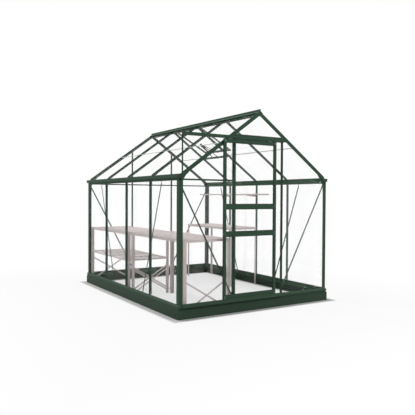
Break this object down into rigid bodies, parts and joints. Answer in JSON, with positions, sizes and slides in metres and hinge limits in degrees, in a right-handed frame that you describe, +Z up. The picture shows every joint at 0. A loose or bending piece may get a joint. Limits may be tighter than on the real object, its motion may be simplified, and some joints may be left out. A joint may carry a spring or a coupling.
{
  "type": "greenhouse",
  "caption": "Glazed garden greenhouse with a pitched roof on a low steel plinth, a sliding gable door, a roof vent and slatted staging inside.",
  "frame": {"origin": "ground level, centre of the footprint", "axes": "+X to the right seen from the door, +Y from the door gable to the back gable, +Z up"},
  "size_m": [1.974, 2.614, 2.1032],
  "materials": {
    "frame_paint": "satin dark green paint",
    "plinth_steel": "satin darker green paint",
    "dark_metal": "matt black paint",
    "glass": "clear horticultural glass",
    "staging": "plain mill finish",
    "bright_metal": "zinc plated"
  },
  "bodies": {
    "greenhouse": {"plinth_sides": "plinth_steel", "plinth_ends": "plinth_steel", "sill_sides": "frame_paint", "sill_ends": "frame_paint", "corner_posts": "frame_paint", "eaves_gutters": "frame_paint", "ridge_beam": "frame_paint", "ridge_cap": "frame_paint", "rafters_left": "frame_paint", "rafters_right": "frame_paint", "side_bars": "frame_paint", "roof_bars": "frame_paint", "back_gable_bars": "frame_paint", "door_jambs": "frame_paint", "gable_ties": "frame_paint", "side_braces": "frame_paint", "gable_braces": "frame_paint", "eaves_gussets": "frame_paint", "apex_gussets": "frame_paint", "door_header": "frame_paint", "door_track": "frame_paint", "track_strut": "frame_paint", "door_guide": "frame_paint", "side_glass": "glass", "back_glass": "glass", "front_glass": "glass", "roof_glass_left": "glass", "roof_glass_right": "glass", "vent_frame": "frame_paint", "vent_glass": "glass", "vent_sill": "frame_paint", "vent_stay": "dark_metal", "bench_tops": "staging", "bench_legs": "staging", "bench_shelf": "staging", "bench_braces_a": "staging", "bench_braces_b": "staging", "side_bench_top": "staging", "side_bench_legs": "staging", "high_shelf": "staging", "shelf_brackets": "staging"},
    "door": {"door_stiles": "frame_paint", "door_rails": "frame_paint", "door_glass": "glass", "door_hangers": "bright_metal"}
  },
  "joints": [
    {"name": "door_slide", "type": "slide", "parent": "greenhouse", "child": "door", "axis": [-1, 0, 0], "range_m": [-0.13, 0.47]}
  ]
}
